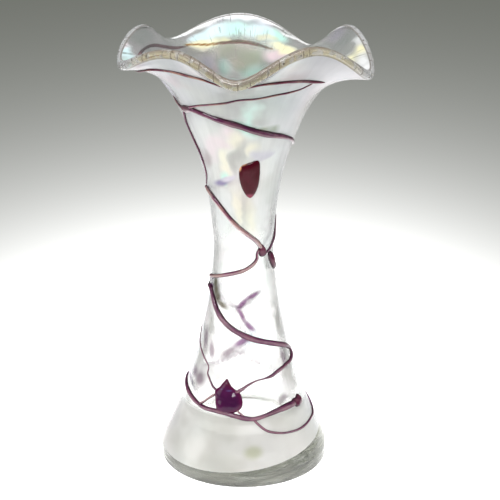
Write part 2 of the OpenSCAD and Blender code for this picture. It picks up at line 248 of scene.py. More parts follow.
class Nodes:
    """Short names for building a material's nodes."""

    def __init__(self, name):
        self.material = bpy.data.materials.new(name)
        self.material.use_nodes = True
        self.tree = self.material.node_tree
        self.shader = self.tree.nodes["Principled BSDF"]
        self.place = self.tree.nodes.new("ShaderNodeTexCoord").outputs["Object"]

    def add(self, kind, values=(), **settings):
        node = self.tree.nodes.new(kind)
        for key, value in settings.items():
            setattr(node, key, value)
        for socket, value in dict(values).items():
            self.put(node.inputs[socket], value)
        return node

    def put(self, socket, value):
        if isinstance(value, bpy.types.NodeSocket):
            self.tree.links.new(value, socket)
        else:
            socket.default_value = value

    def set(self, **values):
        for key, value in values.items():
            self.put(self.shader.inputs[key.replace("_", " ")], value)

    def math(self, operation, a, b=0.0, clamp=False):
        return self.add("ShaderNodeMath", {0: a, 1: b}, operation=operation, use_clamp=clamp).outputs[0]

    def vector(self, operation, a, b=(0, 0, 0)):
        node = self.add("ShaderNodeVectorMath", {0: a, 1: b}, operation=operation)
        return node.outputs["Value" if operation in ("DISTANCE", "LENGTH") else "Vector"]

    def noise(self, scale, place=None, detail=2.0, colour=False):
        node = self.add("ShaderNodeTexNoise", {
            "Vector": place or self.place, "Scale": scale, "Detail": detail})
        return node.outputs["Color" if colour else "Fac"]

    def span(self, value, low, high, to_low=0.0, to_high=1.0, smooth=False):
        return self.add("ShaderNodeMapRange", {
            0: value, 1: low, 2: high, 3: to_low, 4: to_high},
            interpolation_type="SMOOTHSTEP" if smooth else "LINEAR").outputs[0]

    def mix(self, share, a, b, blend="MIX"):
        node = self.add("ShaderNodeMix", data_type="RGBA", blend_type=blend)
        self.put(node.inputs[0], share)
        self.put(node.inputs[6], a)
        self.put(node.inputs[7], b)
        return node.outputs[2]

    def blend(self, share, a, b):
        return self.add("ShaderNodeMix", {0: share, 2: a, 3: b}, data_type="FLOAT").outputs[0]

    def across(self):
        return self.add("ShaderNodeAttribute", attribute_name="across").outputs["Fac"]

    def height(self):
        return self.add("ShaderNodeSeparateXYZ", {0: self.place}).outputs["Z"]

    def bump(self, height, strength, distance):
        return self.add("ShaderNodeBump", {
            "Height": height, "Strength": strength, "Distance": distance}).outputs["Normal"]


def rgb(r, g, b):
    return (r, g, b, 1.0)


def paint(n, base, veil, spots, depth=0.0, wander=0.018):
    """Soft patches on the skin, or depth mm under it.

    Each is (angle, station, half width round the vase, half height, colour, veil), and a slanted
    one adds the degrees by which its width rises with the angle.
    """
    drift = n.vector("SUBTRACT", n.noise(55, detail=2.0, colour=True), (0.5, 0.5, 0.5))
    place = n.vector("ADD", n.place, n.vector("MULTIPLY", drift, (wander, wander, wander)))
    for angle, station, wide, tall, colour, cloud, *slant in spots:
        centre = (skin_point(angle, station) - depth * skin_normal(angle, station)) * MM
        rise, _ = meridian_frame(station, angle)
        local = n.add("ShaderNodeMapping", {
            "Vector": place, "Location": tuple(centre),
            "Rotation": (math.radians(sum(slant)), math.atan2(rise[0], rise[1]), math.radians(angle)),
            "Scale": (max(wide, tall) * MM, wide * MM, tall * MM)}, vector_type="TEXTURE").outputs[0]
        share = n.span(n.vector("LENGTH", local), 1.0, 0.2, smooth=True)
        base = n.mix(share, base, rgb(*colour))
        veil = n.blend(share, veil, cloud)
    return base, veil


WHITE = (0.97, 0.98, 0.99)
MINT = (0.60, 0.95, 0.84)
CYAN = (0.74, 0.96, 1.0)
CREAM = (1.0, 0.95, 0.62)
PINK = (0.99, 0.80, 0.86)
LILAC = (0.86, 0.82, 0.95)
OLIVE = (0.50, 0.56, 0.42)
GREY = (0.66, 0.70, 0.68)
PALE_MINT = (0.66, 1.0, 0.90)
PALE_CREAM = (1.0, 0.96, 0.82)
PALE_PINK = (0.99, 0.86, 0.91)
PALE_GREY = (0.70, 0.69, 0.68)
ROSE = (0.70, 0.60, 0.61)
# Painted shade: dim purple-grey where threads behind show through the glass and where the hip is shaded
SEEN_THROUGH_SHADE = (0.22, 0.17, 0.20)
MAUVE = (0.34, 0.29, 0.52)
PLUM = (0.20, 0.08, 0.19)
# Painted shade for the dark, bent edges down the sides of the hip and the band
SIDE_SHADE = (0.44, 0.43, 0.41)
# Painted shade low on the bowl's back, a dim grey-green
MOSS = (0.27, 0.35, 0.26)
# Painted dark shade by the bends of the threads
BEND_SHADE = (0.10, 0.085, 0.06)


def around_place(n, turn, climb):
    """Coordinates from the direction round the vase and the height, for streaks up the glass."""
    direction = n.vector("NORMALIZE", n.vector("MULTIPLY", n.place, (1, 1, 0)))
    upright = n.vector("MULTIPLY", n.place, (0, 0, climb))
    return n.vector("ADD", n.vector("MULTIPLY", direction, (turn, turn, 0)), upright)


def satin_outside():
    """Satin outer skin with a mother-of-pearl film: pastel patches over translucent white, some of them
    painted reflections of the lamps, with painted shade and painted see-through marks on top.
    """
    n = Nodes("iridised_outside")
    height = n.height()
    neck_share = n.span(height, 0.125, 0.185, smooth=True)
    flare_share = n.span(height, 0.196, 0.222, smooth=True)
    base_share = n.span(height, 0.0405, 0.0370, smooth=True)
    front = n.span(n.add("ShaderNodeSeparateXYZ", {0: n.place}).outputs["Y"], 0.012, -0.012, 0.12, 1.0)
    base_share = n.math("MULTIPLY", base_share, front)
    veil = n.math("ADD", n.math("MULTIPLY", neck_share, 0.54), n.math("MULTIPLY", base_share, 0.86))
    veil = n.math("SUBTRACT", veil, n.math("MULTIPLY", flare_share, 0.12))
    streaks = n.noise(1.0, around_place(n, 4.5, 7.0), detail=2.0)
    base = n.mix(n.span(streaks, 0.40, 0.60, smooth=True), rgb(0.90, 0.895, 0.89), rgb(0.99, 0.985, 0.98))
    cloudy = n.span(n.noise(24, detail=3.0), 0.38, 0.62, smooth=True)
    base = n.mix(flare_share, base, n.mix(cloudy, rgb(0.64, 0.63, 0.64), rgb(0.76, 0.74, 0.75)))
    base = n.mix(base_share, base, n.mix(cloudy, rgb(0.48, 0.47, 0.44), rgb(0.65, 0.64, 0.62)))
    # Painted reflections of the lamps among the film's pastel patches, and painted shade at the sides
    base, veil = paint(n, base, veil, OUTSIDE_SPOTS)
    # Painted images of the threads behind, and painted shade by the bends
    base, veil = paint(n, base, veil, OUTSIDE_MARKS, wander=0.004)
    fine = n.span(n.noise(1.0, around_place(n, 12.0, 30.0), detail=4.0), 0.3, 0.7, 0.02, 0.07)
    veil = n.math("ADD", veil, n.math("MULTIPLY", fine, n.math("SUBTRACT", 1.0, base_share)), clamp=True)
    film = n.span(n.noise(20, detail=2.0), 0.3, 0.7, 360.0, 500.0)
    satin = n.span(n.noise(60, detail=4.0), 0.3, 0.7, 0.01, 0.04)
    satin = n.math("ADD", satin, n.math("MULTIPLY", neck_share, 0.18))
    satin = n.math("ADD", satin, n.math("MULTIPLY", base_share, 0.35))
    ripple = n.bump(n.noise(70, detail=2.0), 0.15, 0.0005)
    n.set(Base_Color=base, Transmission_Weight=n.math("SUBTRACT", 1.0, veil), Roughness=satin, IOR=1.45,
          Coat_Weight=0.12, Coat_Roughness=0.2, Thin_Film_Thickness=film, Thin_Film_IOR=1.4,
          Normal=ripple)
    return n.material


def satin_inside():
    """Inner skin: clearer, with bright film patches in the bowl, partly painted reflections of the lamps,
    and feathery crackle in them.
    """
    n = Nodes("iridised_inside")
    height = n.height()
    veil = n.span(height, 0.170, 0.230, 0.01, 0.08, smooth=True)
    drift = n.noise(60, detail=4.0)
    base = n.mix(n.span(drift, 0.40, 0.60, smooth=True), rgb(0.86, 0.90, 0.87), rgb(0.97, 0.95, 0.96))
    base = n.mix(n.span(height, 0.10, 0.06), base, rgb(0.98, 0.98, 0.975))
    # Film patches, partly painted reflections of the lamps, and painted shade
    base, veil = paint(n, base, veil, INSIDE_SPOTS, depth=4.8, wander=0.012)
    thread_line = n.add("ShaderNodeAttribute", attribute_name="thread_behind").outputs["Fac"]
    aside = n.math("ABSOLUTE", n.add("ShaderNodeSeparateXYZ", {0: n.place}).outputs["X"])
    tinge = n.mix(n.span(aside, 0.012, 0.018), rgb(0.13, 0.015, 0.035), rgb(0.40, 0.22, 0.08))
    feather = n.noise(1.0, around_place(n, 85.0, 110.0), detail=3.0)
    patches = n.span(n.noise(110, detail=2.0), 0.46, 0.56)
    lines = n.math("MULTIPLY", n.span(feather, 0.57, 0.64, smooth=True), n.span(height, 0.225, 0.235))
    lines = n.math("MULTIPLY", lines, patches)
    base = n.mix(n.math("MULTIPLY", lines, 0.6), base, rgb(0.36, 0.42, 0.38))
    veil = n.blend(n.math("MULTIPLY", lines, 0.5), veil, 0.15)
    base = n.mix(n.span(thread_line, 0.35, 0.75, smooth=True), base, tinge)
    film = n.span(n.noise(25, detail=2.0), 0.3, 0.7, 330.0, 520.0)
    n.set(Base_Color=base, Transmission_Weight=n.math("SUBTRACT", 1.0, veil), IOR=1.45,
          Roughness=n.span(height, 0.150, 0.220, 0.02, 0.13),
          Coat_Weight=0.1, Coat_Roughness=0.1, Thin_Film_Thickness=film, Thin_Film_IOR=1.4,
          Normal=n.bump(feather, 0.2, 0.0005))
    return n.material


def lip_glass():
    """Clear fire polished edge, tan above and golden below, with seeds and short cross marks; its pale
    flecks and whiter rear are painted highlights and the dark lines along both edges painted shade.
    """
    n = Nodes("lip_glass")
    across = n.across()
    tone = n.mix(n.span(across, 0.35, 0.6, smooth=True), rgb(0.90, 0.80, 0.50), rgb(0.56, 0.45, 0.35))
    mottle = n.noise(260, detail=3.0)
    # Pale flecks: painted sparkle highlights
    tone = n.mix(n.span(mottle, 0.52, 0.60, 0.0, 0.7), tone, rgb(0.99, 0.97, 0.90))
    parts = n.add("ShaderNodeSeparateXYZ", {0: n.place})
    # The rear of the lip whiter: a painted highlight
    rear_highlight = n.span(parts.outputs["Y"], -0.042, -0.028, smooth=True)
    tone = n.mix(rear_highlight, tone, rgb(0.95, 0.95, 0.96))
    turn = n.math("ARCTAN2", parts.outputs["Y"], parts.outputs["X"])
    marks = n.add("ShaderNodeTexVoronoi", {"W": turn, "Scale": 14.0},
                  voronoi_dimensions="1D", feature="DISTANCE_TO_EDGE").outputs["Distance"]
    broken = n.span(n.noise(170, detail=1.0), 0.46, 0.52)
    mark = n.math("MULTIPLY", n.span(marks, 0.07, 0.03), broken)
    cells = n.add("ShaderNodeTexVoronoi", {"Vector": n.place, "Scale": 300.0})
    seed = n.span(cells.outputs["Distance"], 0.20, 0.14)
    # Dark lines along both edges: painted shade where the round edge bends light
    line = n.math("MAXIMUM", n.span(across, 0.82, 0.92), n.span(across, 0.18, 0.08))
    dark = n.math("MAXIMUM", n.math("MAXIMUM", mark, seed), n.math("MULTIPLY", line, 0.8))
    tone = n.mix(dark, tone, rgb(0.10, 0.08, 0.065))
    n.set(Base_Color=tone, Transmission_Weight=n.blend(dark, 0.72, 0.0), Roughness=0.07, IOR=1.5,
          Normal=n.bump(mottle, 0.3, 0.0006))
    return n.material


def foot_glass():
    """Thick clear glass with an olive tint, paler flowing streaks painted in as highlights, and painted
    shade along the bottom edge.
    """
    n = Nodes("foot_glass")
    cloudy = n.span(n.noise(35, detail=2.0), 0.40, 0.60)
    tone = n.mix(cloudy, rgb(0.135, 0.135, 0.105), rgb(0.085, 0.09, 0.068))
    # Painted shade along the bottom edge
    tone = n.mix(n.span(n.height(), 0.0045, 0.0025), tone, rgb(0.06, 0.06, 0.05))
    waves = n.vector("MULTIPLY", n.place, (42, 42, 260))
    # Paler streaks: painted highlights along the glass's wavy flow, which the bump also follows
    streaks = n.span(n.noise(1.0, waves, detail=3.0), 0.50, 0.64, 0.0, 0.5)
    tone = n.mix(streaks, tone, rgb(0.33, 0.34, 0.28))
    n.set(Base_Color=tone, Transmission_Weight=0.97, Roughness=0.03, IOR=1.5,
          Normal=n.bump(n.noise(1.0, waves, detail=2.0), 0.8, 0.0016))
    return n.material


def ground_glass():
    """The underside: pale, rough ground glass."""
    n = Nodes("ground_glass")
    n.set(Base_Color=rgb(0.94, 0.95, 0.93), Transmission_Weight=0.95, IOR=1.15,
          Roughness=n.span(n.noise(300, detail=3.0), 0.3, 0.7, 0.28, 0.45))
    return n.material


def fused_seam():
    """Where two masses of glass are fused there is no surface to see."""
    n = Nodes("fused_seam")
    clear = n.add("ShaderNodeBsdfTransparent")
    n.tree.links.new(clear.outputs[0], n.tree.nodes["Material Output"].inputs["Surface"])
    return n.material


def amethyst_glass(name, edge, core, warm, under, spots=(), clear=0.3, shine=0.3, glint=0.0,
                   far=(0.20, 0.05, 0.17)):
    """Glossy purple glass, dark at the edges, with a paler, warmer painted highlight along the top of its
    section and a brighter painted glint at its peak.

    under is its tone where it meets the vase. Behind the vase's middle it turns to far, and clearer.
    """
    n = Nodes(name)
    # Paler, warmer band along the top of the thread: a painted highlight
    crown_highlight = n.span(n.across(), 0.35, 0.85, smooth=True)
    mottle = n.noise(120, detail=3.0)
    heart = n.mix(n.span(mottle, 0.42, 0.62, smooth=True), rgb(*core), rgb(*warm))
    crown_highlight = n.math("MULTIPLY", crown_highlight, n.span(n.noise(45), 0.3, 0.6, 0.45, 1.0))
    base = n.mix(crown_highlight, rgb(*edge), heart)
    # A narrow painted glint along the very top
    base = n.mix(n.span(n.across(), 0.92, 0.99, 0.0, glint), base, rgb(0.80, 0.62, 0.58))
    base = n.mix(n.span(n.across(), 0.02, 0.0), base, rgb(*under))
    base, _ = paint(n, base, 0.0, spots, wander=0.004)
    depth = n.add("ShaderNodeSeparateXYZ", {0: n.place}).outputs["Y"]
    behind = n.span(depth, -0.002, 0.008, smooth=True)
    base = n.mix(behind, base, rgb(*far))
    n.set(Base_Color=base, Transmission_Weight=n.blend(behind, clear, 0.85), Roughness=0.09, IOR=1.5,
          Specular_IOR_Level=shine, Coat_Weight=0.12, Coat_Roughness=0.06,
          Normal=n.bump(mottle, 0.12, 0.0004))
    return n.material


# Pearly patches outside, partly the film's tints and partly painted reflections of the lamps, then
# painted shade down the sides of the hip and the band
OUTSIDE_SPOTS = [
    (277, 209, 8, 16, (0.72, 1.0, 0.93), 0.95), (267, 207, 9, 7, PALE_MINT, 0.75),
    (256, 204, 9, 8, PALE_PINK, 0.6), (290, 203, 9, 6, OLIVE, 0.45), (299, 205, 6, 5, OLIVE, 0.4),
    (262, 197, 9, 10, PALE_CREAM, 0.65), (232, 190, 9, 12, PALE_PINK, 0.62),
    (244, 196, 8, 9, PALE_PINK, 0.6), (214, 184, 8, 9, ROSE, 0.5),
    (250, 182, 5, 15, PALE_CREAM, 0.72), (247, 174, 4, 6, PALE_MINT, 0.7),
    (270, 190, 5, 12, PALE_GREY, 0.5), (262, 186, 4, 14, PALE_GREY, 0.4),
    (280, 191, 5, 6, PALE_CREAM, 0.65), (292, 188, 7, 7, LILAC, 0.5),
    (304, 182, 8, 18, WHITE, 0.65), (238, 160, 8, 18, WHITE, 0.5),
    (262, 156, 5, 20, PALE_CREAM, 0.55), (272, 152, 3, 18, PALE_GREY, 0.35),
    (284, 150, 6, 16, PALE_CREAM, 0.45), (300, 158, 7, 20, WHITE, 0.5),
    (226, 146, 6, 16, WHITE, 0.45), (314, 138, 6, 14, WHITE, 0.35),
    (285, 212, 9, 7, PALE_GREY, 0.5), (246, 218, 12, 9, PALE_GREY, 0.5),
    (262, 226, 12, 8, PALE_GREY, 0.42), (225, 234, 14, 9, ROSE, 0.45),
    (300, 236, 16, 9, ROSE, 0.42), (318, 234, 12, 9, PALE_GREY, 0.42),
    (60, 212, 14, 18, PALE_MINT, 0.45), (110, 196, 10, 20, PALE_PINK, 0.5),
    (150, 205, 10, 20, PALE_CREAM, 0.45), (20, 200, 10, 18, CYAN, 0.45),
    (190, 224, 16, 12, LILAC, 0.4), (90, 150, 8, 20, PALE_CREAM, 0.3), (70, 60, 14, 20, CYAN, 0.12),
    (180, 90, 8, 16, PALE_PINK, 0.12), (330, 86, 5.5, 20, SIDE_SHADE, 0.5),
    (332, 60, 8, 18, SIDE_SHADE, 0.5), (208, 66, 7, 18, SIDE_SHADE, 0.42),
    (213, 84, 5, 12, SIDE_SHADE, 0.35), (318, 52, 10, 8, PALE_GREY, 0.45),
    (230, 58, 12, 12, PALE_GREY, 0.6), (232, 84, 5, 10, PALE_GREY, 0.3),
    (188, 27, 10, 16, SIDE_SHADE, 0.95), (354, 29, 10, 16, SIDE_SHADE, 0.95),
    (322, 46, 8, 4, PALE_GREY, 0.5), (262, 22, 16, 9, (0.60, 0.59, 0.57), 0.86)]
# Small marks with steadier outlines: painted images of the threads behind, seen dimly through the glass,
# and painted shade by the bends
OUTSIDE_MARKS = [
    (238, 171.2, 9.5, 3.0, MAUVE, 0.55, 20), (250, 174, 7, 2.4, LILAC, 0.55, 20),
    (296, 187, 8, 2.6, LILAC, 0.5, 20), (213, 111, 3.4, 6, BEND_SHADE, 0.7),
    (218, 106.5, 4, 7, BEND_SHADE, 0.75), (224, 102.5, 4, 6, BEND_SHADE, 0.7),
    (234, 99, 8, 3, BEND_SHADE, 0.4, -30), (216, 54, 7, 7, SEEN_THROUGH_SHADE, 0.6), (204, 56, 5, 6, SEEN_THROUGH_SHADE, 0.5),
    (209, 77, 3.4, 11, SEEN_THROUGH_SHADE, 0.4, 10), (226, 72.5, 4, 9, SEEN_THROUGH_SHADE, 0.25, 20),
    (311.5, 45, 6, 4, SEEN_THROUGH_SHADE, 0.45, 30), (286, 105.4, 7.6, 2.5, PLUM, 0.45, 28),
    (268.5, 100.5, 8.0, 2.5, PLUM, 0.45, 45), (266, 94.5, 7.5, 2.2, PLUM, 0.45, -58),
    (280, 88.4, 7.5, 2.6, PLUM, 0.5, -48), (268, 79.6, 9.5, 3.6, PLUM, 0.4, 30),
    (250, 73.5, 10.0, 3.8, SEEN_THROUGH_SHADE, 0.3, 34), (326, 66, 4, 9, SEEN_THROUGH_SHADE, 0.3, 15),
    (312, 64, 8, 5, PALE_GREY, 0.4, 20), (278, 20, 8, 6, (0.47, 0.48, 0.37), 0.8)]
# The film in the bowl: its back, then the left lobe, the right lobe and the front. The white and cyan
# bands under the lip and on the lobes are partly painted reflections of the lamps; the moss and olive
# patches low on the back are painted shade
INSIDE_SPOTS = [
    (100, 228, 14, 12, MOSS, 0.5), (86, 226, 15, 12, MOSS, 0.5), (114, 222, 9, 8, PINK, 0.12),
    (82, 219, 9, 9, MINT, 0.3), (70, 219, 8, 8, OLIVE, 0.3), (121, 229, 8, 8, LILAC, 0.15),
    (94, 223, 9, 6, OLIVE, 0.25), (104, 222, 8, 8, MINT, 0.2), (116, 242, 12, 7, CYAN, 0.85),
    (106, 242, 13, 8, CYAN, 0.85), (94, 241.5, 14, 8, MINT, 0.8), (82, 241.5, 13, 8, CYAN, 0.82),
    (71, 243, 11, 8, MINT, 0.8), (120, 248.5, 12, 3.2, WHITE, 0.85),
    (110, 249, 14, 3.6, WHITE, 0.85), (98, 249, 14, 3.6, WHITE, 0.85),
    (86, 249, 14, 3.6, WHITE, 0.85), (76, 249, 13, 3.2, WHITE, 0.85),
    (66, 248, 10, 2.6, WHITE, 0.8), (67, 232, 9, 7, PINK, 0.62), (59, 235, 8, 7, PINK, 0.6),
    (65, 239, 11, 5, CREAM, 0.85), (58, 238, 8, 6, CREAM, 0.85), (76, 239, 7, 3.5, CREAM, 0.5),
    (121, 238, 11, 5.5, CREAM, 0.85), (112, 237, 9, 4.5, CREAM, 0.85),
    (103, 236, 7, 3.5, CREAM, 0.5), (187, 249, 9, 7, CYAN, 0.8), (196, 247, 10, 8, CYAN, 0.8),
    (201, 249, 9, 6, MINT, 0.7), (183, 250, 7, 5, PINK, 0.7), (172, 247, 11, 10, GREY, 0.16),
    (161, 247, 13, 10, GREY, 0.14), (0, 248, 9, 6, CREAM, 0.7), (352, 248, 11, 6, WHITE, 0.62),
    (343, 249.5, 12, 5, WHITE, 0.65), (6, 249, 8, 5, WHITE, 0.55), (356, 243, 9, 6, CREAM, 0.7),
    (15, 244, 10, 9, GREY, 0.12), (25, 246, 11, 8, LILAC, 0.15), (230, 240, 12, 9, LILAC, 0.3),
    (300, 240, 14, 9, PINK, 0.3), (268, 236, 14, 9, MINT, 0.3)]
# The teardrop's amber upper edge, a painted highlight, and its paler tip
TEARDROP_SPOTS = [
    (266.5, 181, 1.6, 3.0, (0.95, 0.50, 0.26), 0), (270, 183.2, 3.4, 1.4, (0.90, 0.46, 0.26), 0, 14),
    (281, 163.5, 4, 3, (0.28, 0.05, 0.09), 0)]
# The leaf's red point, and blue glints across its upper half
LEAF_SPOTS = [
    (254, 56, 5, 4, (0.085, 0.006, 0.032), 0), (248, 52.6, 2.6, 0.9, (0.14, 0.14, 0.36), 0),
    (255, 52.2, 3.4, 0.8, (0.12, 0.12, 0.32), 0), (262, 51.6, 2.0, 0.8, (0.12, 0.11, 0.28), 0),
    (254, 48, 1.2, 1.2, (0.16, 0.16, 0.34), 0)]

# ---- Pieces -----------------------------------------------------------------------------

AROUND = 288


def make_body():
    """The hollow body: up the outside from the seam, over the lip, and down to the inside floor."""
    angles = np.arange(AROUND) * 360.0 / AROUND
    seam = seam_at(angles)
    rings, bands, across = [], [], []

    def ring(r, z, band, share=0.0):
        rings.append(in_space(r + 0 * angles, z + 0 * angles, angles))
        bands.append(band)
        across.append(share)

    outer, edge, inner, fused = 0, 1, 2, 3
    for share in np.linspace(0, 1, 9)[:-1]:
        z = seam + (LEVEL_H - seam) * share
        ring(body_r(z), z, outer)
    flare_stations = np.linspace(SHOULDER_H, LIP_STATION, 44)
    stations = np.concatenate([np.arange(LEVEL_H, SHOULDER_H, 2.0), flare_stations])
    for s in stations:
        r, z = skin(s, angles)
        ring(r, z, outer)
    (rise_r, rise_z), (out_r, out_z) = meridian_frame(np.full(AROUND, LIP_STATION), angles)
    r, z = skin(LIP_STATION, angles)
    mid_r, mid_z = r - LIP_T / 2 * out_r, z - LIP_T / 2 * out_z
    for b in np.radians(np.arange(11.25, 180, 11.25)):
        ring(mid_r + LIP_T / 2 * (math.cos(b) * out_r + math.sin(b) * rise_r),
             mid_z + LIP_T / 2 * (math.cos(b) * out_z + math.sin(b) * rise_z), edge, b / math.pi)
    for s in stations[::-1]:
        if s < CORNER_H:
            break
        r, z = skin(s, angles)
        _, (out_r, out_z) = meridian_frame(np.full(AROUND, s), angles)
        ring(r - wall_at(s) * out_r, z - wall_at(s) * out_z, inner, 1.0)
    corner_r = np.mean(np.hypot(rings[-1][:, 0], rings[-1][:, 1]))
    corner = (corner_r, np.mean(rings[-1][:, 2]))
    knots = np.array([corner] + [(r, FLOOR_H + h) for r, h in FLOOR_CURVE])
    for share in np.linspace(0, 1, 25)[1:-1]:
        r, z = curve_at(knots, share * (len(knots) - 1))
        ring(r, z, inner)
    gaps = [edge if edge in pair else pair[0] for pair in zip(bands, bands[1:])]
    piece = ring_mesh("vase_body", np.array(rings), (0, 0, SEAM_H), (0, 0, FLOOR_H),
                      [SATIN_OUT, LIP, SATIN_IN, FUSED], [fused, *gaps, inner],
                      np.array(across)[:, None], sharp_rings=(0,))
    shade_thread(piece, "rim_thread")
    return stand_for(piece, "blown_body")


def shade_thread(piece, name):
    """Marks the inner skin at the back of the bowl, where a thread shows through the wall.

    The wall bends light, so the line lies lower than the thread, and it ends at last_angle.
    """
    last_angle, lower = 128, 2.3
    knots = np.array(TRAILS[name], float)
    stops = np.array([curve_at(knots, x) for x in np.linspace(0, len(knots) - 1, 16 * len(knots))])
    angle, station, width = stops[stops[:, 0] < last_angle].T
    inward = wall_at(station)[:, None] * skin_normal(angle, station)
    line = skin_point(angle, station - lower) - inward
    points = np.array([v.co for v in piece.data.vertices]) / MM
    gap = np.min(np.linalg.norm(points[:, None] - line[None], axis=2) - width / 2, axis=1)
    shade = np.clip(0.7 - 0.6 * gap, 0, 1)
    piece.data.attributes.new("thread_behind", "FLOAT", "POINT").data.foreach_set("value", shade)


def between(p0, p1, p2, p3, t):
    """The Catmull-Rom curve from p1 at t = 0 to p2 at 1."""
    return (2 * p1 + (p2 - p0) * t + (2 * p0 - 5 * p1 + 4 * p2 - p3) * t * t
            + (3 * p1 - p0 - 3 * p2 + p3) * t ** 3) / 2


def curve_at(knots, x):
    """A point at x knots along the smooth curve through knots."""
    last = len(knots) - 1
    i = min(int(x), last - 1)
    return between(knots[max(i - 1, 0)], knots[i], knots[i + 1], knots[min(i + 2, last)], x - i)


def closed_curve(knots, per):
    """The smooth closed curve through knots, with per points to each."""
    count = len(knots)
    return np.array([
        between(*(knots[(i + d) % count] for d in (-1, 0, 1, 2)), step / per)
        for i in range(count) for step in range(per)])


def make_foot():
    """The clear foot: down the outside from the seam, and in to the hollow in the underside."""
    angles = np.arange(AROUND) * 360.0 / AROUND
    seam = seam_at(angles)
    rings, bands = [], []

    def ring(r, z, band):
        rings.append(in_space(r + 0 * angles, z + 0 * angles, angles))
        bands.append(band)

    side, under, fused = 0, 1, 2
    for share in np.linspace(0, 1, 9):
        z = seam + (FOOT_SIDE_H - seam) * share
        ring(body_r(np.maximum(z, FOOT_SIDE_H)), z, side)
    for z in (7, 6, 5):
        ring(FOOT_R, z, side)
    for b in np.radians(np.arange(0, 91, 7.5)):
        ring(FOOT_R - EDGE_R + EDGE_R * math.cos(b), EDGE_R - EDGE_R * math.sin(b), side)
    for r in (40, 32, 24, 16, HOLLOW_R):
        ring(r, 0.0, under)
    for r in (12.5, 11, 9, 6, 3):
        ring(r, HOLLOW_H * (1 - (r / HOLLOW_R) ** 2), side)
    piece = ring_mesh("vase_foot", np.array(rings), (0, 0, SEAM_H), (0, 0, HOLLOW_H),
                      [FOOT, GROUND, FUSED], [fused, *bands[1:], side], 0.0, sharp_rings=(0,))
    return stand_for(piece, "clear_foot")


# Points round a thread's section, and steps of a thread or dab to each knot of its route
SECTION = 14
PER_KNOT = 8


def make_trail(name, route, material, seed):
    """A trailed thread along (angle, station, width) knots, with a D section and drawn-out ends."""
    knots = np.array(route, float)
    spans = len(knots) - 1
    stops = np.array([curve_at(knots, x) for x in np.linspace(0, spans, spans * PER_KNOT + 1)])
    angle, station, width = stops.T
    along = np.arange(len(stops))
    rng = np.random.default_rng(seed)
    phase = rng.uniform(0, 6.28, 3)
    slow, quick = np.sin(along * 0.23 + phase[0]), np.sin(along * 0.6 + phase[1])
    width = width * (1 + 0.05 * slow + 0.03 * quick)
    ends = np.clip(np.minimum(along, along[::-1]) / 3.0, 0, 1)
    width = width * np.sqrt(1 - 0.75 * (1 - ends) ** 2)
    centre = skin_point(angle, station)
    normal = skin_normal(angle, station)
    ahead = np.gradient(centre, axis=0)
    side = unit(np.cross(ahead, normal))
    b = np.radians(np.linspace(0, 180, SECTION))
    half, tall = width / 2, THREAD_RISE * width
    rings = (centre[:, None]
             + (half[:, None] * np.cos(b))[..., None] * side[:, None]
             + (tall[:, None] * np.sin(b) - SINK)[..., None] * normal[:, None])
    piece = ring_mesh("vase_" + name, rings, rings[0].mean(axis=0), rings[-1].mean(axis=0),
                      [material], [0] * (len(rings) + 1), np.sin(b))
    return stand_for(piece, name)


def make_dab(name, middle, outline, tall, material, seed):
    """A pressed dab of glass: a low dome over an outline of (angle, station) points."""
    middle = np.array(middle, float)
    loop = closed_curve(np.array(outline, float), PER_KNOT)
    turn = np.linspace(0, 2 * math.pi, len(loop), endpoint=False)
    rng = np.random.default_rng(seed)
    phase = rng.uniform(0, 6.28, 4)
    shares = np.sin(np.radians(np.linspace(90, 4, 18)))
    rings, heights = [], []
    for s in (0.35, 0.7, *shares):
        p = middle + (loop - middle) * s
        base = skin_point(p[:, 0], p[:, 1])
        if len(rings) < 2:
            lift = np.full(len(loop), -SINK)
        else:
            dome = tall * math.sqrt(max(0.0, 1 - s * s))
            broad, small = np.sin(3 * turn + phase[1]), np.sin(5 * turn + phase[2])
            lift = dome * (1 + 0.10 * s * broad + 0.06 * s * small) - SINK
        rings.append(base + lift[:, None] * skin_normal(p[:, 0], p[:, 1]))
        heights.append(math.sqrt(max(0.0, 1 - s * s)))
    angle, station = middle[:, None]
    point = skin_point(angle, station)[0]
    normal = skin_normal(angle, station)[0]
    piece = ring_mesh("vase_" + name, np.array(rings), point - SINK * normal,
                      point + (tall - SINK) * normal, [material], [0] * (len(rings) + 1),
                      np.array(heights)[:, None])
    return stand_for(piece, name)


